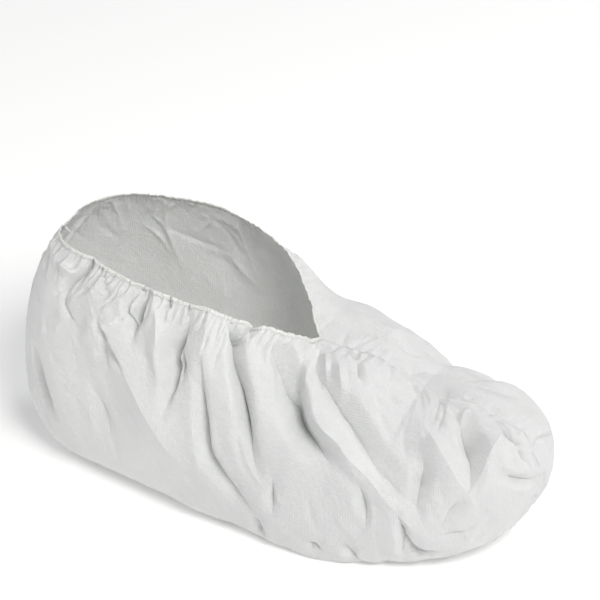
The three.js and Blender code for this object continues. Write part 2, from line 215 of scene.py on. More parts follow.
def draw_crease(points, facing, steps, creases, number, course):
    """Moves the grid points beside a course onto it, so that the crease follows edges of the mesh."""
    near = np.flatnonzero(within(points, course, 2.0) & (creases == 0))
    if not len(near):
        return
    place, distance, way, _ = nearest_on(course, points[near], facing[near])
    toward = (place - points[near]) / np.maximum(distance, 1e-6)[:, None]
    half_cell = 0.5 * np.abs((steps[:, near] * toward).sum(axis=-1)).max(axis=0)
    caught = (distance < half_cell) & (way > 0) & (way < 1)
    points[near[caught]] = place[caught]
    creases[near[caught]] = number


DEEPEST_AT = 0.45
CORE_WIDTH = 1.5
FOLD_CORE, PLEAT_CORE = 0.8, 0.2
FOLD_ROUNDING, PLEAT_ROUNDING, CREASE_ROUNDING, PUCKER_ROUNDING = 0.05, 0.02, 0.08, 0.15


def fold_relief(points, normals, course, depth, heel_widths, toe_widths, shares, rounding, core=0.0):
    """How far a fold lifts each point. It is deepest part way along, with its shares left at head and foot,
    and its two flanks have widths of their own at head and foot. The crease is rounded by a small radius, and
    the core is a narrow groove along it."""
    relief = np.zeros(len(points))
    near = within(points, course, 1.3 * max(*heel_widths, *toe_widths))
    if not near.any():
        return relief
    _, best, way, toe_side = nearest_on(course, points[near], normals[near])
    width = np.where(toe_side, toe_widths[0] + (toe_widths[1] - toe_widths[0]) * way,
                     heel_widths[0] + (heel_widths[1] - heel_widths[0]) * way)
    away = np.sqrt(best ** 2 + rounding ** 2) - rounding
    across = hinge(1 - away / width)
    if core:
        across = across + core / abs(depth) * hinge(1 - best / CORE_WIDTH)
    along = np.where(way < DEEPEST_AT, shares[0] + (1 - shares[0]) * smoothstep(0, DEEPEST_AT, way),
                     shares[1] + (1 - shares[1]) * (1 - smoothstep(DEEPEST_AT, 1, way)))
    relief[near] = depth * across * along
    return relief


def soft_noise(points, size, seed):
    """Smooth random hills about one size apart, from gradients on a lattice."""
    scaled = points / size
    cell = np.floor(scaled).astype(int)
    share = scaled - cell
    cell -= cell.min(axis=0)
    gradients = np.random.default_rng(seed).normal(size=(*(cell.max(axis=0) + 2), 3))
    gradients /= np.linalg.norm(gradients, axis=3, keepdims=True)
    ease = share ** 3 * (share * (share * 6 - 15) + 10)
    total = np.zeros(len(points))
    for corner in itertools.product((0, 1), repeat=3):
        slope = (gradients[tuple((cell + corner).T)] * (share - corner)).sum(axis=1)
        total += slope * np.where(corner, ease, 1 - ease).prod(axis=1)
    return total


def crumpled(flat, size, stretch, slant, seed):
    """Heights of flat facets with sharp edges between them, as crumpled film keeps. The facets are triangles
    about one size wide, and stretched along the slant, in degrees."""
    turned = math.radians(slant)
    u = (flat[:, 0] * math.cos(turned) + flat[:, 1] * math.sin(turned)) / (size * stretch)
    v = (flat[:, 1] * math.cos(turned) - flat[:, 0] * math.sin(turned)) / size
    place = np.stack([u, v, 0 * u], axis=1)
    u = u + 0.7 * soft_noise(place, 1.6, seed + 1)
    v = v + 0.7 * soft_noise(place, 1.6, seed + 2)
    across, up = u - v / math.sqrt(3), 2 * v / math.sqrt(3)
    i, j = np.floor(across).astype(int), np.floor(up).astype(int)
    x, y = across - i, up - j
    i, j = i - i.min(), j - j.min()
    height = np.random.default_rng(seed).uniform(-1, 1, (i.max() + 2, j.max() + 2))
    beyond = x + y > 1
    x, y = np.where(beyond, 1 - x, x), np.where(beyond, 1 - y, y)
    corner = np.where(beyond, height[i + 1, j + 1], height[i, j])
    beside = np.where(beyond, height[i, j + 1], height[i + 1, j])
    above = np.where(beyond, height[i + 1, j], height[i, j + 1])
    return (1 - x - y) * corner + x * beside + y * above


# The folds that the elastic starts and the foot room opens, from heel to toe. A row holds the depth, less
# than 0 for a valley, the widths in mm of the heel side flank and of the toe side flank at head and foot, the
# shares of the depth left at head and foot, and the course. The depths are in units of FOLD_DEEPENING mm.
FOLD_DEEPENING = 2.5
RIGHT_FOLDS = [
    (-2.8, (3, 5), (5, 6), (0.9, 0.2),
     [(95, 1.0), (96, 0.98), (95, 0.961), (91, 0.94), (85, 0.912), (81, 0.888), (75.5, 0.865),
      (69, 0.833)]),
    (-1.7, (3, 5), (9, 9), (0.5, 0.2),
     [(81, 0.888), (81, 0.865), (83, 0.841), (86.5, 0.82), (92, 0.806), (97, 0.79)]),
    (1.5, (5, 5), (4, 4), (0.4, 0.4), [(60, 0.945), (72, 0.952), (82, 0.945), (90, 0.95)]),
    (4.2, (22, 24), (14, 17), (0.45, 0.0),
     [(114.5, 0.831), (120.7, 0.8), (129.4, 0.761), (137, 0.72), (145.8, 0.673), (156.7, 0.6),
      (162.2, 0.564), (173.2, 0.518), (186, 0.46)]),
    (-1.8, (5, 6), (2.5, 3), (1.0, 0.1),
     [(114, 0.834), (117, 0.815), (121, 0.795), (126, 0.77), (131, 0.746), (136, 0.715)]),
    (-1.8, (9, 9), (7, 7), (0.3, 0.2), [(117, 0.8), (119, 0.76), (122, 0.72)]),
    (1.0, (3, 3), (4, 4), (0.6, 0.6), [(105.5, 0.823), (113, 0.832), (120, 0.856), (129.5, 0.894)]),
    (-4.4, (8, 5), (5, 4), (0.6, 0.1),
     [(142.5, 0.99), (140.7, 0.95), (140, 0.911), (138, 0.875), (137, 0.847), (135.5, 0.812)]),
    (-2.2, (4, 4), (3, 3), (0.7, 0.9),
     [(137.5, 0.995), (135, 0.974), (131.5, 0.935), (134.6, 0.9), (138, 0.872)]),
    (-1.2, (3, 3), (3, 3), (0.5, 0.5), [(125, 0.868), (129, 0.892), (132, 0.905)]),
    (-1.8, (2.5, 2.5), (2.5, 2.5), (0.9, 0.3),
     [(156.5, 1.0), (158, 0.988), (156.7, 0.976), (154.5, 0.965)]),
    (2.6, (12, 7), (4, 3), (0.5, 0.3),
     [(150, 0.968), (152.5, 0.93), (155.5, 0.88), (157.5, 0.83), (159.5, 0.77), (160.5, 0.71)]),
    (-7.4, (13, 4), (5, 4), (0.35, 0.1),
     [(171, 0.9775), (172, 0.951), (170.8, 0.9185), (168.8, 0.88), (167.8, 0.852), (169, 0.825),
      (168.5, 0.793), (167.5, 0.748), (165.5, 0.72), (162.7, 0.685), (159, 0.63)]),
    (-2.8, (3, 2.5), (5, 5), (0.5, 0.2),
     [(171.5, 0.89), (172, 0.8655), (173, 0.824), (173.2, 0.789), (171.7, 0.758)]),
    (2.5, (8, 10), (6, 8), (0.6, 0.2), [(181, 1.0), (183, 0.95), (184, 0.89), (187, 0.85), (189, 0.8)]),
    (-3.6, (5, 9), (4, 8), (0.1, 0.2),
     [(183, 0.92), (184.5, 0.87), (186, 0.83), (189, 0.75), (193, 0.65), (196.5, 0.6), (201.5, 0.57),
      (211, 0.52), (222, 0.466), (230, 0.432)]),
    (-1.8, (5, 5), (5, 5), (0.6, 0.1), [(227, 0.42), (228.5, 0.38), (229, 0.35)]),
    (-3.0, (4, 4), (4, 4), (0.8, 1.0), [(195.8, 0.98), (198, 0.96), (200, 0.945)]),
    (-3.0, (4, 4), (4, 4), (0.8, 1.0), [(206, 1.0), (203.5, 0.975), (200.8, 0.95)]),
    (-6.6, (7, 8), (5, 8), (0.7, 0.1),
     [(200, 0.945), (202.7, 0.895), (208.6, 0.83), (212.3, 0.797), (216, 0.747), (219.6, 0.685),
      (222, 0.645), (225, 0.61), (229.5, 0.568), (233.5, 0.542)]),
    (1.5, (3, 3), (3, 3), (0.3, 0.2),
     [(211.5, 0.747), (216, 0.685), (219, 0.645), (222.5, 0.61), (228, 0.568), (233, 0.542)]),
    (-1.6, (5, 5), (4, 4), (0.4, 0.2), [(237, 0.56), (238, 0.5), (238, 0.45)]),
    (-8.2, (11, 13), (9, 11), (0.6, 0.0),
     [(222.5, 0.92), (228.5, 0.86), (234.5, 0.8), (241.5, 0.762), (248, 0.726), (254.2, 0.7),
      (261.2, 0.675), (271.6, 0.638), (282, 0.615)]),
    (-2.0, (5, 5), (3, 4), (0.3, 0.0),
     [(229, 0.89), (233.5, 0.83), (239, 0.79), (245, 0.76), (251, 0.728), (257, 0.702), (264, 0.672)]),
    (3.8, (8, 8), (10, 13), (0.4, 0.1),
     [(236, 0.93), (240, 0.84), (249, 0.76), (262, 0.72), (272, 0.7), (280.5, 0.672), (288, 0.655),
      (297, 0.628), (304.6, 0.594), (311.6, 0.563), (318.2, 0.522), (323.3, 0.496), (331, 0.455)]),
    (-4.2, (9, 14), (8, 15), (0.6, 0.1),
     [(235, 0.965), (240.3, 0.895), (247, 0.86), (252.4, 0.842), (258.5, 0.82), (266.6, 0.79),
      (276.2, 0.762), (283.2, 0.735), (292.4, 0.695), (302.2, 0.655), (315.2, 0.607), (321, 0.585),
      (325.5, 0.56), (328.3, 0.533), (332, 0.48)]),
    (1.8, (4, 4), (3, 3), (0.8, 0.5), [(242, 0.945), (247, 0.9), (253.3, 0.845)]),
    (3.0, (13, 14), (5, 5), (0.3, 0.3), [(252.6, 0.925), (259, 0.877), (264, 0.835), (265.6, 0.803)]),
    (-1.8, (4, 4), (4, 4), (0.7, 0.3), [(262.6, 0.945), (267, 0.91), (272, 0.885)]),
    (-1.6, (2.5, 2.5), (2.5, 2.5), (0.8, 0.8), [(251, 0.985), (256, 0.975), (260, 0.968)]),
    (-1.4, (6, 6), (6, 6), (0.2, 0.2), [(258, 0.385), (264, 0.37), (269, 0.365)]),
    (-3.8, (8, 6), (8, 6), (0.2, 0.2),
     [(329, 0.725), (330.5, 0.683), (329, 0.645), (328, 0.61), (327, 0.575), (327, 0.54)]),
    (-2.2, (6, 6), (5, 5), (0.3, 0.2), [(291, 0.61), (295, 0.54), (296, 0.48)]),
    (-2.2, (5, 5), (5, 5), (0.3, 0.6),
     [(315.4, 0.537), (317.6, 0.503), (319.3, 0.478), (320, 0.452), (318.5, 0.4)]),
    (-2.0, (5, 5), (5, 5), (0.6, 0.2), [(321.5, 0.44), (326, 0.395), (333, 0.378), (341, 0.376)]),
    (-1.6, (9, 9), (9, 9), (0.2, 0.2), [(352, 0.58), (346, 0.53), (340, 0.48)]),
    (-1.0, (6, 6), (6, 6), (0.3, 0.3), [(338, 0.45), (354, 0.455), (370, 0.47)]),
    (4.0, (12, 14), (11, 6), (0.4, 0.35),
     [(328, 0.84), (338, 0.765), (346, 0.7), (352, 0.64), (357.5, 0.59)]),
    (-6.0, (9, 6), (12, 6), (0.3, 0.3), [(373, 0.84), (369, 0.76), (364, 0.67), (359, 0.595)]),
    (1.2, (3, 3), (3, 3), (0.6, 0.6), [(389, 0.835), (379, 0.82), (370, 0.79)]),
    (3.8, (11, 6), (14, 10), (0.4, 0.35),
     [(405, 0.735), (394, 0.712), (380, 0.69), (371, 0.648), (364, 0.615), (359, 0.59)]),
    (-1.7, (5, 5), (5, 5), (0.4, 0.5), [(385, 0.6), (396, 0.558), (406, 0.535)]),
    (-2.0, (4, 4), (6, 6), (0.5, 0.2),
     [(389, 0.94), (370, 0.915), (353, 0.885), (345, 0.86), (339.6, 0.83), (333, 0.79)]),
    (-1.2, (3, 3), (3, 3), (0.8, 0.5), [(402, 0.66), (401.4, 0.625), (403, 0.59)]),
    (-1.5, (4, 3), (2.5, 2.5), (0.5, 0.4), [(404, 0.755), (400.5, 0.72), (401, 0.686), (405, 0.65)]),
    (0.9, (2.5, 2.5), (3, 3), (0.5, 0.4), [(407.5, 0.73), (405, 0.7), (407.5, 0.67)]),
    (-1.0, (4, 4), (5, 5), (0.4, 0.2), [(372, 0.9), (350, 0.84), (343, 0.79)]),
    (-1.8, (5, 5), (5, 5), (0.8, 0.3), [(292, 0.99), (302, 0.965), (312, 0.94)]),
    (-3.4, (7, 7), (7, 7), (0.3, 0.2),
     [(57, 0.625), (60, 0.585), (63, 0.527), (66, 0.5), (70, 0.47), (75, 0.438)]),
    (-1.6, (6, 6), (6, 6), (0.3, 0.3), [(282, 0.4), (287, 0.35), (291, 0.31)]),
    (-2.0, (9, 9), (9, 9), (0.5, 0.1), [(30, 0.97), (27, 0.88), (31, 0.76)]),
    (-1.2, (9, 9), (9, 9), (0.3, 0.1), [(108, 0.62), (118, 0.54), (122, 0.42)]),
]

# Dents that pull the cloth and the seam in round a point on or beside the toe seam: its place in the table's
# measure, the dent's radius and its depth in mm.
SEAM_POCKETS = [(80, 11, 99, 8, 8), (104, 0, 94, 6, 4.2), (134, 0, 87, 6, 3.6), (145, 1, 81, 5.5, 3.6),
                (162, 2, 67, 5.5, 4)]


def seam_pockets(points, side):
    """The dents' relief on points of the right panel, side 1, or of the left one as drawn, side -1."""
    relief = np.zeros(points.shape[:-1])
    for x, y, z, radius, depth in SEAM_POCKETS:
        offset = points - np.array([x, side * y, z])
        relief -= depth * np.exp(-(offset ** 2).sum(axis=-1) / radius ** 2)
    return relief


def gather_folds(rng, share):
    """Small pleats below the elastic, most of them short. Beside the ankle they swing towards the heel."""
    pleats = []
    station = 3.0
    while station < FRONT + 4:
        gap = rng.uniform(2.2, 5.2)
        station += gap
        long_one = rng.random() < 0.3
        length = rng.uniform(0.09, 0.19) if long_one else rng.uniform(0.03, 0.08)
        depth = share * gap * (rng.uniform(0.5, 0.8) if long_one else rng.uniform(0.35, 0.65))
        swing = np.interp(station, [0, 75, 92, 118, 136, 160, FRONT], [0, -10, -90, -170, -100, -25, 20])
        reach = length * (swing + rng.uniform(-25, 25))
        heel_width, toe_width = rng.uniform(0.35, 0.8, 2) * gap
        pleats.append((-depth, (heel_width, 1.5 * heel_width), (toe_width, 1.5 * toe_width), (1.0, 0.0), [
            (station, 1.0), (station + 0.3 * reach, 1 - length * 0.5), (station + reach, 1 - length)]))
    return pleats


PACKING_CREASES = 230
GIRTH = 205


def packing_creases(rng, count):
    """Short crisp creases that the film keeps from being folded flat, mostly along the slant of the folds. A
    usual girth of the panel turns their lengths into rises."""
    creases = []
    for _ in range(count):
        station, rise = rng.uniform(12, PANEL_LENGTH - 6), rng.uniform(0.3, 0.97)
        length = rng.uniform(6, 38)
        heading = rng.normal(1.15, 0.7)
        across, up = length * math.cos(heading), length * math.sin(heading) / GIRTH
        size = rng.uniform(0.3, 1.15)
        sign = -1 if rng.random() < 0.6 else 1
        flanks = rng.uniform(1.8, 5.5, 2)
        creases.append((sign * size, (flanks[0], flanks[0]), (flanks[1], flanks[1]), (0.2, 0.2), [
            (station - across / 2, rise + up / 2),
            (station + rng.uniform(-2, 2), rise + rng.uniform(-0.01, 0.01)),
            (station + across / 2, rise - up / 2)]))
    return creases


SEAM_TURNS = 301


def seam_puckers(rng):
    """Pleats where the seam draws the cloth up, square to the seam: along the instep to the station where the
    seam turns down over the toe, then down the panel's two ends."""
    puckers = []
    station = FRONT + 5
    while station < SEAM_TURNS - 1:
        station += rng.uniform(4.5, 9)
        puckers.append((-rng.uniform(0.8, 1.8), (3, 3), (3.5, 3.5), (1.0, 0.0), [
            (station, 0.995), (station + rng.uniform(-3, 3), 0.97), (station + rng.uniform(-4, 4), 0.94)]))
    for end in (PANEL_LENGTH - 0.5, 0.5):
        inward = -1 if end > 1 else 1
        rise = 0.97
        while rise > 0.36:
            rise -= rng.uniform(0.018, 0.045)
            reach = rng.uniform(6, 16)
            puckers.append((-rng.uniform(0.7, 1.9), (3, 3), (3.5, 3.5), (1.0, 0.0), [
                (end, rise), (end + inward * reach * 0.5, rise + rng.uniform(-0.01, 0.01)),
                (end + inward * reach, rise + rng.uniform(-0.02, 0.02))]))
    return puckers


# The rows of folds give each course as it is seen on the finished cover from the toe's side and above. A
# crest stands out from the smooth panel, so its course is set back along that line of sight.
AZIMUTH, ELEVATION = math.radians(26.5), math.radians(35.3)
SIGHT = np.array([math.sin(AZIMUTH) * math.cos(ELEVATION), -math.cos(AZIMUTH) * math.cos(ELEVATION),
                  math.sin(ELEVATION)])


def set_back(folds, guide):
    """The folds with their courses moved over the panel by what their own height hides or shows."""
    normals = grid_normals(guide)
    along = np.gradient(guide, guide_stations, axis=0)
    up = np.gradient(guide, guide_rises, axis=1)
    facing = (normals @ SIGHT)[..., None]
    slide = SIGHT / np.maximum(facing, 0.35) - normals
    per_mm = np.stack([(slide * way).sum(axis=-1) / np.maximum((way ** 2).sum(axis=-1), 1e-6)
                       for way in (along, up)], axis=-1)
    points, outward = guide.reshape(-1, 3), normals.reshape(-1, 3)
    moved = folds
    for _ in range(2):
        relief = np.zeros(len(points))
        for depth, heel_widths, toe_widths, shares, waypoints in moved:
            relief += fold_relief(points, outward, course_on(guide, waypoints), depth * FOLD_DEEPENING,
                                  heel_widths, toe_widths, shares, FOLD_ROUNDING)
        even = relief.reshape(guide.shape[:2])
        for _ in range(8):
            even[1:-1] = (even[:-2] + 2 * even[1:-1] + even[2:]) / 4
            even[:, 1:-1] = (even[:, :-2] + 2 * even[:, 1:-1] + even[:, 2:]) / 4
        height = even[..., None] * per_mm
        moved = []
        for fold in folds:
            marks = np.array(fold[-1])
            column = np.clip(marks[:, 0] / PANEL_LENGTH * (len(guide) - 1), 0, len(guide) - 1).astype(int)
            row = np.clip(marks[:, 1] * (guide.shape[1] - 1), 0, guide.shape[1] - 1).astype(int)
            shift = height[column, row] * (1 - smoothstep(0.93, 1.0, marks[:, 1:]))
            for _ in range(3):
                shift[1:-1] = (shift[:-2] + 2 * shift[1:-1] + shift[2:]) / 4
            moved.append((*fold[:-1], marks + shift))
    return moved


# The rises are closer towards the top edge, where each row also has twice as many stations.
STATIONS = np.linspace(0, PANEL_LENGTH, 665)
RISES = np.concatenate([np.linspace(0, 0.2, 6)[:-1], np.linspace(0.2, 0.33, 8)[:-1],
                        np.linspace(0.33, 0.87, 83)[:-1], np.linspace(0.87, 1, 27)])
FINE_FROM = 95
PANEL_EDGE = 0.04
SEAM_DIP = 0.6
CRISP_DEPTH = 1.0
TOE_POLE = (SECTIONS[-1, PIVOT], 0, SECTIONS[-1, TOP_HEIGHT])


def film_facets(flat, by_rim, by_toe, seed):
    """The film's long rolling facets, and its crumpling, which is stronger by the rim and by the toe."""
    rolling = 1.1 * crumpled(flat, 30, 1.8, -58, seed + 10) + 0.6 * crumpled(flat, 15, 1.7, -50, seed + 20)
    crumple = (0.28 + 0.4 * by_rim + 0.3 * by_toe) * crumpled(flat, 8, 1.6, -60, seed + 30)
    crumple += (0.06 + 0.32 * by_rim + 0.1 * by_toe) * crumpled(flat, 4, 1.5, -70, seed + 40)
    return rolling, crumple


def folded_panel(rows, folds, seed, fullness, side):
    """The outer face of one panel in mm, drawn as the right one, and the creases that its mesh follows."""
    rng = np.random.default_rng(seed)
    smooth = smooth_panel(STATIONS, RISES, rows)
    guide = smooth_panel(guide_stations, guide_rises, rows)
    if side == 1:
        folds = set_back(folds, guide)
    normals = grid_normals(smooth)
    shape = smooth.shape[:2]
    points, facing = smooth.reshape(-1, 3).copy(), normals.reshape(-1, 3)
    steps = np.stack([np.gradient(smooth, axis=0), np.gradient(smooth, axis=1)])
    steps[0, :, :FINE_FROM] *= 2
    steps = steps.reshape(2, -1, 3)
    rise = np.broadcast_to(RISES, shape).reshape(-1)
    station = np.repeat(STATIONS, shape[1])
    pleats = gather_folds(rng, fullness)
    creases = np.zeros(shape, int)
    creases[1::2, :FINE_FROM] = -1
    creases = creases.reshape(-1)
    crisp = sorted((fold for fold in folds + pleats if abs(fold[0]) > CRISP_DEPTH),
                   key=lambda fold: -abs(fold[0]))
    for number, fold in enumerate(crisp):
        draw_crease(points, facing, steps, creases, number + 1, course_on(guide, fold[-1]))

    def total(table, rounding, core=0.0, deepen=1.0):
        relief = np.zeros(len(points))
        for depth, heel_widths, toe_widths, shares, waypoints in table:
            relief += fold_relief(points, facing, course_on(guide, waypoints), depth * deepen, heel_widths,
                                  toe_widths, shares, rounding, core if depth < 0 else 0.0)
        return relief

    hanging = total(folds, FOLD_ROUNDING, FOLD_CORE, FOLD_DEEPENING)
    gathers = np.zeros(len(points))
    for depth, heel_widths, toe_widths, shares, waypoints in pleats:
        pleat = fold_relief(points, facing, course_on(guide, waypoints), depth, heel_widths, toe_widths,
                            shares, PLEAT_ROUNDING, PLEAT_CORE)
        gathers = np.minimum(gathers, pleat) + 0.35 * np.maximum(gathers, pleat)
    under_hem = (1 - smoothstep(FRONT - 14, FRONT + 6, station)) * smoothstep(2, 18, station)
    gathers = (gathers + 1.1 * fullness * np.exp(-((rise - 0.968) / 0.022) ** 2)) * under_hem
    gathers *= 1 - 0.6 * smoothstep(0.975, 1.0, rise)
    creased = total(packing_creases(rng, PACKING_CREASES), CREASE_ROUNDING)
    puckered = total(seam_puckers(rng), PUCKER_ROUNDING)
    flat = np.stack([station, rise * GIRTH], axis=1)
    by_rim, by_toe = smoothstep(0.80, 0.97, rise), smoothstep(FRONT, 340, station)
    rolling, crumple = film_facets(flat, by_rim, by_toe, seed)
    clear_of_seam = smoothstep(0, 9, -points[:, 1])
    clear_of_sole = smoothstep(0.22, 0.34, rise)
    near_seam = np.exp(-(points[:, 1] / 1.7) ** 2) * smoothstep(0, 0.02, rise)
    open_edge = smoothstep(0.985, 1.0, rise) * (station < FRONT)
    clear_of_pole = smoothstep(2, 28, np.linalg.norm(points - TOE_POLE, axis=1))
    roughness = (0.45 + 0.55 * fullness) * clear_of_pole
    relief = clear_of_sole * (clear_of_seam * (hanging + roughness * (rolling + crumple + creased))
                              + gathers + clear_of_pole * puckered + seam_pockets(points, side))
    relief += (1 - clear_of_sole) * (0.8 * soft_noise(points, 26, seed + 6) + 0.5 * crumple)
    relief -= SEAM_DIP * near_seam * (1 - open_edge)
    moved = points + facing * relief[:, None]
    moved[:, 1] = np.minimum(moved[:, 1], 0) - PANEL_EDGE
    moved[:, 2] = np.maximum(moved[:, 2], 0)
    return moved.reshape(smooth.shape), creases


def deselect():
    """An operator acts on all that is selected, so nothing is left selected between pieces."""
    for other in bpy.context.selected_objects:
        other.select_set(False)


DOUBLES_WITHIN = 0.00002


def cloth_grid(name, grid, along, across, side, thickness, fine_from=0, creases=None):
    """A sheet of cloth on a grid of points in mm, with its flat measures as its UV map and its thickness
    inwards. Rows below fine_from use every second column. A cell is split along a crease that crosses it, and
    otherwise this way and that way in turn."""
    columns, rows = grid.shape[:2]
    corner = np.arange(columns * rows).reshape(columns, rows)
    creases = np.zeros(columns * rows, int) if creases is None else creases
    coarse, fine = corner[::2, :fine_from + 1], corner[:, fine_from:]
    faces = []
    for block, meets_fine in ((coarse, True), (fine, False)):
        if block.shape[1] < 2:
            continue
        a, b, c, d = block[:-1, :-1], block[1:, :-1], block[1:, 1:], block[:-1, 1:]
        if meets_fine:
            joint = corner[1::2, fine_from]
            faces += np.stack([a[:, -1], b[:, -1], joint], axis=-1).tolist()
            faces += np.stack([a[:, -1], joint, d[:, -1]], axis=-1).tolist()
            faces += np.stack([b[:, -1], c[:, -1], joint], axis=-1).tolist()
            a, b, c, d = a[:, :-1], b[:, :-1], c[:, :-1], d[:, :-1]
        a, b, c, d = a.ravel(), b.ravel(), c.ravel(), d.ravel()
        rising = (creases[a] > 0) & (creases[a] == creases[c])
        falling = (creases[b] > 0) & (creases[b] == creases[d])
        rising |= ~falling & ((a // rows + a) % 2 == 0)
        falling = ~rising
        halves = [(a, b, c, rising), (a, c, d, rising), (a, b, d, falling), (b, c, d, falling)]
        for first, second, third, chosen in halves:
            faces += np.stack([first[chosen], second[chosen], third[chosen]], axis=-1).tolist()
    used = np.unique(np.concatenate([coarse.ravel(), fine.ravel()]))
    renumbered = np.zeros(columns * rows, int)
    renumbered[used] = np.arange(len(used))
    placed = ((grid.reshape(-1, 3) + np.array([SHIFT_X, 0, 0])) * MM)[used]
    placed[:, 1] *= side
    mesh = bpy.data.meshes.new(name)
    mesh.from_pydata(placed.tolist(), [], [[int(renumbered[index]) for index in face] for face in faces])
    piece = bpy.data.objects.new(name, mesh)
    bpy.context.collection.objects.link(piece)
    ends = np.array([edge.vertices[:] for edge in mesh.edges])
    numbers = creases[used][ends]
    mesh.attributes.new("sharp_edge", "BOOLEAN", "EDGE").data.foreach_set(
        "value", (numbers[:, 0] > 0) & (numbers[:, 0] == numbers[:, 1]))
    vertex = np.empty(len(mesh.loops), dtype=np.int32)
    mesh.loops.foreach_get("vertex_index", vertex)
    measures = np.stack(np.meshgrid(along, across, indexing="ij"), axis=-1).reshape(-1, 2)[used]
    mesh.uv_layers.new(name="UVMap").data.foreach_set("uv", measures[vertex].ravel())
    deselect()
    piece.select_set(True)
    bpy.context.view_layer.objects.active = piece
    bpy.ops.object.mode_set(mode="EDIT")
    bpy.ops.mesh.select_all(action="SELECT")
    bpy.ops.mesh.remove_doubles(threshold=DOUBLES_WITHIN)
    bpy.ops.mesh.dissolve_degenerate(threshold=DOUBLES_WITHIN / 2)
    if side < 0:
        bpy.ops.mesh.flip_normals()
    bpy.ops.object.mode_set(mode="OBJECT")
    if thickness:
        wall = piece.modifiers.new("thickness", "SOLIDIFY")
        wall.thickness = thickness * MM
        wall.offset = -1
        bpy.ops.object.modifier_apply(modifier=wall.name)
    deselect()
    for polygon in piece.data.polygons:
        polygon.use_smooth = True
    return piece


# The cut's flat length and width in metres. Its area is less than its rectangle's because its outline is
# curved.
FLAT_LENGTH = 0.42
FLAT_WIDTH = 0.225
CLOTH_THICKNESS = 0.35
right_outer, right_creases = folded_panel(SECTIONS, RIGHT_FOLDS, 11, 1.0, 1)
panel_along, panel_across = STATIONS / PANEL_LENGTH * FLAT_LENGTH, RISES * FLAT_WIDTH
right_panel = cloth_grid("right_panel_cloth", right_outer, panel_along, panel_across, 1, CLOTH_THICKNESS,
                         FINE_FROM, right_creases)


class Field:
    """A socket of a material. Sums on it add the Math nodes that work them out."""

    def __init__(self, tree, socket):
        self.tree = tree
        self.socket = socket

    def math(self, operation, *values):
        return node(self.tree, "ShaderNodeMath", {"operation": operation}, dict(enumerate(values)))

    def __add__(self, other):
        return self.math("ADD", self, other)

    def __sub__(self, other):
        return self.math("SUBTRACT", self, other)

    def __rsub__(self, other):
        return self.math("SUBTRACT", other, self)

    def __mul__(self, other):
        return self.math("MULTIPLY", self, other)

    def __pow__(self, other):
        return self.math("POWER", self, other)

    def sine(self):
        return self.math("SINE", self)

    __radd__ = __add__
    __rmul__ = __mul__


def node(tree, kind, settings, sockets, output=0):
    """Any shader node: its settings first, then the values or links of its sockets."""
    made = tree.nodes.new(kind)
    for key, value in settings.items():
        setattr(made, key, value)
    for key, value in sockets.items():
        if isinstance(value, Field):
            tree.links.new(value.socket, made.inputs[key])
        else:
            made.inputs[key].default_value = value
    return Field(tree, made.outputs[output])


EMBOSS_PITCH = 0.0015

# A colour Mix node's sockets, by their numbers: its factor, its two colours and its result.
MIX_FACTOR, MIX_A, MIX_B, MIX_COLOR = 0, 6, 7, 2


def nonwoven(name, color, shade, roughness):
    """White spunbonded cloth laminated to film: faint embossed squares, matted fibres and fine crackle. Its
    colour runs towards the darker shade in a broad random tone, and in painted shadow of the fine grain along
    the embossed squares and in the mottle.
    """
    material = bpy.data.materials.new(name)
    material.use_nodes = True
    tree = material.node_tree
    surface = tree.nodes["Principled BSDF"]
    place = node(tree, "ShaderNodeTexCoord", {}, {}, "Object")
    sheet = node(tree, "ShaderNodeTexCoord", {}, {}, "UV")
    along = node(tree, "ShaderNodeSeparateXYZ", {}, {0: sheet}, "X")
    across = node(tree, "ShaderNodeSeparateXYZ", {}, {0: sheet}, "Y")
    turns = 2 * math.pi / EMBOSS_PITCH
    lines_along = ((along * turns).sine() * 0.5 + 0.5) ** 6.0
    lines_across = ((across * turns).sine() * 0.5 + 0.5) ** 6.0
    squares = lines_along.math("MAXIMUM", lines_along, lines_across)
    fibres = node(tree, "ShaderNodeTexNoise", {}, {"Vector": place, "Scale": 1500.0, "Detail": 3.0})
    crackle = node(tree, "ShaderNodeTexNoise", {"noise_type": "RIDGED_MULTIFRACTAL"},
                   {"Vector": place, "Scale": 120.0, "Detail": 3.0, "Roughness": 0.6})
    cloud = node(tree, "ShaderNodeTexNoise", {}, {"Vector": place, "Scale": 38.0, "Detail": 4.0})
    mottle = node(tree, "ShaderNodeTexNoise", {}, {"Vector": place, "Scale": 420.0, "Detail": 2.0})
    # The cloud is a random tone of the cloth. The mottle and the squares are painted shadow of the fine
    # grain, darker along the embossed lines.
    tone_and_painted_grain_shadow = cloud * 0.4 + mottle * 0.4 + squares * 0.2
    tone = node(tree, "ShaderNodeMix", {"data_type": "RGBA"},
                {MIX_FACTOR: tone_and_painted_grain_shadow, MIX_A: color, MIX_B: shade}, MIX_COLOR)
    tree.links.new(tone.socket, surface.inputs["Base Color"])
    rough = roughness + (mottle - 0.5) * 0.12
    tree.links.new(rough.socket, surface.inputs["Roughness"])
    height = squares * -0.4 + crackle * 0.5 + fibres * 0.9 + mottle * 1.6
    bump = node(tree, "ShaderNodeBump", {}, {"Strength": 1.0, "Distance": 0.0004, "Height": height})
    tree.links.new(bump.socket, surface.inputs["Normal"])
    surface.inputs["Subsurface Weight"].default_value = 1.0
    surface.inputs["Subsurface Radius"].default_value = (1.0, 1.0, 0.95)
    surface.inputs["Subsurface Scale"].default_value = 0.0015
    surface.inputs["Specular IOR Level"].default_value = 0.35
    return material


CLOTH_WHITE = (0.81, 0.82, 0.805, 1)
# The darker colour that the random tone and the painted shadow of the grain mix in.
CLOTH_SHADE = (0.70, 0.71, 0.70, 1)
cloth_finish = nonwoven("laminated_nonwoven", CLOTH_WHITE, CLOTH_SHADE, 0.6)
right_panel.data.materials.append(cloth_finish)
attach(right_panel, "root")
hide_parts("side_panel_right")


# ---- Left side panel ----
# The mirror image of the right panel, cut from the same cloth and sewn to it. It is fuller round the toe,
# where less of it is drawn in, and it hangs smoother. Its inner face shows through the opening.

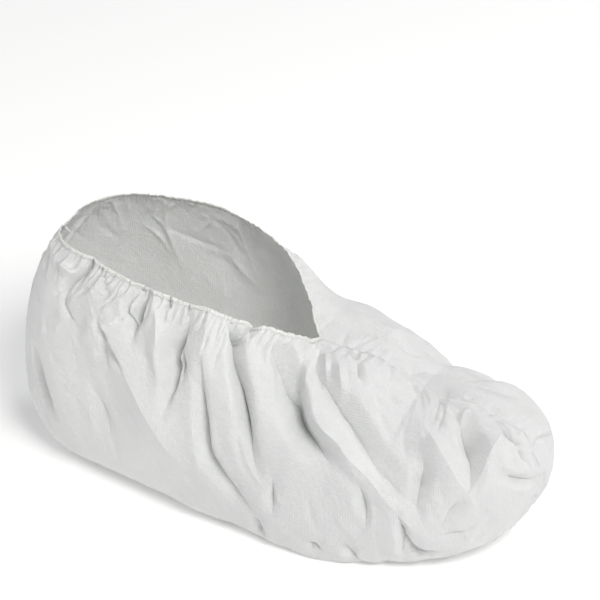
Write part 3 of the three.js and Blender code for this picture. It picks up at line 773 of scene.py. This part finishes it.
# Its sections against the right panel's: how much fuller each row is, and where its shoulder is rounder or
# squarer and its top edge lower.
SECTION_ROWS = np.arange(len(SECTIONS))
LEFT_FULLNESS = np.interp(SECTION_ROWS, [0, 3, 7, 9, 10, 11, 12], [1, 0.98, 1.05, 0.97, 0.99, 1.09, 1])
top_edge = SECTIONS[:, TOP].clip(0)
LEFT_SECTIONS = SECTIONS.copy()
LEFT_SECTIONS[:, WIDE] = top_edge + (SECTIONS[:, WIDE] - top_edge) * LEFT_FULLNESS
LEFT_SECTIONS[:, SOLE] *= LEFT_FULLNESS
LEFT_SECTIONS[FRONT_ROW, SQUARE] *= 0.8
LEFT_SECTIONS[9:12, SQUARE] = 0.97, 0.98, 0.90
LEFT_SECTIONS[5:7, TOP_HEIGHT] -= 2, 5
LEFT_FOLDS = [
    (-0.6, (12, 12), (12, 12), (0.8, 0.1), [(60, 0.97), (66, 0.84), (58, 0.68)]),
    (0.4, (3, 3), (5, 5), (0.6, 0.3), [(34, 0.95), (24, 0.84), (12, 0.72)]),
    (-0.35, (3, 3), (3, 3), (0.5, 0.3), [(44, 0.97), (33, 0.88), (22, 0.8)]),
    (0.35, (2.5, 2.5), (4, 4), (0.5, 0.5), [(96, 0.84), (118, 0.8), (140, 0.79)]),
    (-0.3, (3, 3), (3, 3), (0.5, 0.5), [(92, 0.88), (100, 0.82), (101, 0.74)]),
    (0.35, (3, 3), (3, 3), (0.5, 0.5), [(128, 0.95), (142, 0.86), (148, 0.74)]),
    (-0.3, (3, 3), (3, 3), (0.5, 0.5), [(84, 0.83), (94, 0.79), (99, 0.73)]),
    (-0.5, (4, 4), (12, 12), (0.7, 0.1), [(104, 0.97), (100, 0.84), (108, 0.62)]),
    (0.4, (18, 18), (6, 6), (0.3, 0.1), [(118, 0.92), (140, 0.7), (170, 0.46)]),
    (-0.6, (12, 12), (4, 4), (0.7, 0.1), [(150, 0.97), (152, 0.82), (160, 0.62)]),
    (-0.6, (5, 5), (12, 12), (0.6, 0.1), [(182, 0.97), (188, 0.8), (204, 0.56)]),
    (-2.4, (10, 12), (4, 5), (0.6, 0.5),
     [(222, 0.97), (231, 0.93), (240, 0.91), (250, 0.9), (262, 0.9), (274, 0.898), (284, 0.885)]),
    (1.6, (14, 14), (8, 8), (0.4, 0.3), [(225, 0.93), (245, 0.885), (262, 0.865), (285, 0.86)]),
    (-5.0, (15, 15), (15, 15), (0.2, 0.1), [(284, 0.83), (304, 0.68), (328, 0.44)]),
    (-2.2, (9, 10), (4, 5), (0.5, 0.4),
     [(300, 0.915), (318, 0.885), (336, 0.866), (352, 0.855), (363, 0.838), (372, 0.81), (378, 0.775)]),
    (-4.0, (12, 12), (12, 12), (0.2, 0.1), [(340, 0.78), (348, 0.68), (346, 0.54)]),
    (-1.0, (3, 3), (4, 4), (0.8, 0.5),
     [(413, 0.665), (411, 0.635), (399.6, 0.613), (387, 0.58), (379, 0.56)]),
    (1.2, (13, 13), (13, 13), (0.3, 0.2), [(352, 0.84), (362, 0.76), (362, 0.6)]),
]
left_outer, left_creases = folded_panel(LEFT_SECTIONS, LEFT_FOLDS, 37, 0.35, -1)
left_panel = cloth_grid("left_panel_cloth", left_outer, panel_along, panel_across, -1, CLOTH_THICKNESS,
                        FINE_FROM, left_creases)
left_panel.data.materials.append(cloth_finish)
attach(left_panel, "root")
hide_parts("side_panel_left")


# ---- Toe seam ----
# The two panels' edges sewn face to face and turned inwards, from the front of the opening over the instep
# and round the toe to the middle of the sole. From outside only a fine puckered groove shows.
SEAM_ALLOWANCE = 5.0
SEAM_THICKNESS = 0.5
SOLE_MIDDLE = -12.0
SEAM_GAP = 0.2


def seam_strip(name, line):
    """A narrow strip of doubled cloth in the centre plane, its outer edge just inside the groove."""
    run = np.gradient(line, axis=0)
    outward = np.stack([-run[:, 2], 0 * run[:, 0], run[:, 0]], axis=1)
    outward /= np.linalg.norm(outward, axis=1, keepdims=True)
    insets = np.array([0.4, 1.4, 3.0, SEAM_ALLOWANCE])
    dent = seam_pockets(line, 1)[:, None, None] - SEAM_DIP
    grid = line[:, None] + outward[:, None] * (dent - insets[None, :, None])
    grid[..., 1] = SEAM_THICKNESS / 2
    grid[..., 2] = np.maximum(grid[..., 2], 0.2)
    run_length = np.concatenate([[0], np.cumsum(np.linalg.norm(np.diff(line, axis=0), axis=1))]) * MM
    return cloth_grid(name, grid, run_length, insets * MM, 1, SEAM_THICKNESS)


def centre_line(stations, rises):
    """The line where the smooth panels meet, in the centre plane."""
    line = smooth_panel(np.atleast_1d(stations), np.atleast_1d(rises)).reshape(-1, 3)
    line[:, 1] = 0
    return line


toe_line = np.concatenate([
    centre_line(np.linspace(FRONT + 0.5, SEAM_TURNS, 60), 1.0),
    centre_line(PANEL_LENGTH, np.linspace(0.999, 0.0, 160)), [(SOLE_MIDDLE + SEAM_GAP, 0, 0)]])
toe_seam = seam_strip("toe_seam_strip", toe_line)
toe_seam.data.materials.append(cloth_finish)
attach(toe_seam, "root")
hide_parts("toe_seam")


# ---- Heel seam ----
# The same seam of the two panels' edges, sewn face to face and turned inwards, from the middle of the sole up
# the back of the heel to the hem.
heel_line = np.concatenate([[(SOLE_MIDDLE - SEAM_GAP, 0, 0)], centre_line(0.0, np.linspace(0.0, 0.999, 160))])
heel_seam = seam_strip("heel_seam_strip", heel_line)
heel_seam.data.materials.append(cloth_finish)
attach(heel_seam, "root")
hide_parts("heel_seam")


# ---- Opening hem ----
# The top edges of the two panels turned over a narrow elastic and stitched through, so that the cloth round
# it stands in close little puckers.
HEM_STEP = 0.36

# Points round the hem's section in mm: outwards from the panel's top edge, and up.
HEM_PROFILE = np.array([
    (-0.2, -1.2), (-0.2, -0.4), (0.12, 0.3), (0.2, 0.9), (0.3, 1.5), (0.25, 2.0), (0.05, 2.3), (-0.2, 2.25),
    (-0.45, 1.9), (-0.5, 1.3), (-0.45, 0.6), (-0.5, 0.0), (-0.45, -0.6), (-0.3, -1.2)])


def edge_of(outer, side):
    """A panel's top edge beside the opening, and the way that the cloth rises to it."""
    edge = outer[STATIONS <= FRONT + 0.01]
    top, below = edge[:, -1] * (1, side, 1), edge[:, -3] * (1, side, 1)
    return top, top - below


right_top, right_rise = edge_of(right_outer, 1)
left_top, left_rise = edge_of(left_outer, -1)
loop = np.concatenate([right_top, left_top[::-1]])
rising = np.concatenate([right_rise, left_rise[::-1]])
closed = np.concatenate([loop, loop[:1]])
length = np.concatenate([[0], np.cumsum(np.linalg.norm(np.diff(closed, axis=0), axis=1))])
count = int(length[-1] / HEM_STEP)
even = np.arange(count) / count * length[-1]


def along_loop(values, smoothing):
    """Values on the loop's points, spread evenly along it and smoothed round it."""
    ring = np.concatenate([values, values[:1]])
    result = np.stack([np.interp(even, length, ring[:, axis]) for axis in range(3)], axis=1)
    kernel = np.hanning(smoothing * 2 + 3)[1:-1]
    kernel /= kernel.sum()
    padded = np.concatenate([result[-len(kernel):], result, result[:len(kernel)]])
    smoothed = np.stack([np.convolve(padded[:, axis], kernel, "same") for axis in range(3)], axis=1)
    return smoothed[len(kernel):-len(kernel)]


line = along_loop(loop, 2)
rise_way = along_loop(rising / np.linalg.norm(rising, axis=1, keepdims=True), 14)
tangent = np.roll(line, -1, axis=0) - np.roll(line, 1, axis=0)
outward = np.cross(tangent, rise_way)
outward /= np.linalg.norm(outward, axis=1, keepdims=True)
rise_way = np.cross(outward, tangent)
rise_way /= np.linalg.norm(rise_way, axis=1, keepdims=True)

# Each pucker has a size, a sway out or in and a height of its own.
hem_rng = np.random.default_rng(5)
pucker_at = [0.0]
while pucker_at[-1] < length[-1] - 2.0:
    pucker_at.append(pucker_at[-1] + hem_rng.uniform(1.2, 2.8))
pucker_at = np.array(pucker_at)
phase = np.interp(even, pucker_at, np.arange(len(pucker_at)))
swell = np.abs(np.sin(math.pi * phase)) ** 0.7
size = np.interp(even, pucker_at, hem_rng.uniform(0.35, 1.0, len(pucker_at)))
sway = np.interp(even, pucker_at, hem_rng.uniform(-0.35, 0.35, len(pucker_at)))
tall = np.interp(even, pucker_at, hem_rng.uniform(-0.12, 0.08, len(pucker_at)))
hem_grid = np.zeros((count, len(HEM_PROFILE), 3))
for index, (out, up) in enumerate(HEM_PROFILE):
    share = min(max(up + 0.5, 0) / 3.0, 1.0)
    face = 1 if out > 0 else -1
    thick = out * (0.7 + 0.3 * swell) + face * 0.55 * share * (swell - 0.6) * size
    level = up + share * (0.15 * (swell - 0.5) * size + tall)
    hem_grid[:, index] = line + outward * (thick + share * sway)[:, None] + rise_way * level[:, None]

ring_of_hem = np.concatenate([hem_grid, hem_grid[:1]])
ring_of_hem = np.concatenate([ring_of_hem, ring_of_hem[:, :1]], axis=1)
hem_along = np.arange(count + 1) * HEM_STEP * MM
hem_across = np.arange(len(HEM_PROFILE) + 1) * MM
hem = cloth_grid("opening_hem_gathers", ring_of_hem, hem_along, hem_across, 1, 0)
# The hem's cloth has the same random tone and painted shadow of the grain.
hem_finish = nonwoven("elastic_hem", (0.78, 0.78, 0.755, 1), (0.70, 0.70, 0.68, 1), 0.65)
hem.data.materials.append(hem_finish)
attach(hem, "root")
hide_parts("opening_hem")


# ---- Floor, light and camera ----
# A plain white floor in soft light that comes mostly from the toe's side and above, with weaker lights from
# the heel's side and from behind. The camera looks down on the right side from beside the toe.
deselect()
bpy.ops.mesh.primitive_plane_add(size=8, location=(0, 0, -0.0005))
floor = bpy.context.active_object
floor.name = "studio_floor"
floor_finish = bpy.data.materials.new("studio_floor")
floor_finish.use_nodes = True
floor_surface = floor_finish.node_tree.nodes["Principled BSDF"]
floor_surface.inputs["Base Color"].default_value = (0.85, 0.85, 0.85, 1)
floor_surface.inputs["Roughness"].default_value = 0.9
floor_surface.inputs["Emission Color"].default_value = (1, 1, 1, 1)
floor_surface.inputs["Emission Strength"].default_value = 0.18
floor.data.materials.append(floor_finish)

world = bpy.data.worlds.new("studio")
bpy.context.scene.world = world
world.use_nodes = True
world.node_tree.nodes["Background"].inputs["Color"].default_value = (0.985, 0.99, 1.0, 1)
world.node_tree.nodes["Background"].inputs["Strength"].default_value = 0.32


def soft_light(name, position, aim, size, power, color):
    """A round area light turned towards its aim."""
    bpy.ops.object.light_add(type="AREA", location=position)
    lamp = bpy.context.active_object
    lamp.name = name
    lamp.data.shape = "DISK"
    lamp.data.size = size
    lamp.data.energy = power
    lamp.data.color = color
    lamp.rotation_euler = (Vector(aim) - Vector(position)).to_track_quat("-Z", "Y").to_euler()


soft_light("key_light", (0.98, -0.80, 1.50), (0, 0, 0.05), 0.8, 29.5, (1.0, 0.995, 0.97))
soft_light("heel_light", (-1.30, -0.75, 1.30), (0, 0, 0.08), 1.0, 5.0, (1.0, 1.0, 1.0))
soft_light("back_light", (0.70, 1.10, 1.60), (0, 0, 0.08), 1.0, 11.0, (1.0, 1.0, 1.0))

ROLL = math.radians(0.9)
DISTANCE = 1.88
AIM_RIGHT, AIM_UP = 0.00852, 0.0572
right = Vector((math.cos(AZIMUTH), math.sin(AZIMUTH), 0))
back = Vector(SIGHT.tolist())
up = back.cross(right)
screen_right = right * math.cos(ROLL) - up * math.sin(ROLL)
screen_up = right * math.sin(ROLL) + up * math.cos(ROLL)
target = Vector((SHIFT_X * MM, 0, 0.060))
aim = target + screen_right * AIM_RIGHT + screen_up * AIM_UP
position = target + back * DISTANCE
view_back = (position - aim).normalized()
view_right = screen_up.cross(view_back).normalized()
view_up = view_back.cross(view_right)
bpy.ops.object.camera_add(location=position)
camera = bpy.context.active_object
camera.data.lens = 185.3
camera.data.sensor_width = 36
camera.matrix_world = Matrix((
    (view_right.x, view_up.x, view_back.x, position.x), (view_right.y, view_up.y, view_back.y, position.y),
    (view_right.z, view_up.z, view_back.z, position.z), (0, 0, 0, 1)))
bpy.context.scene.camera = camera
bpy.context.scene.view_settings.view_transform = "Standard"
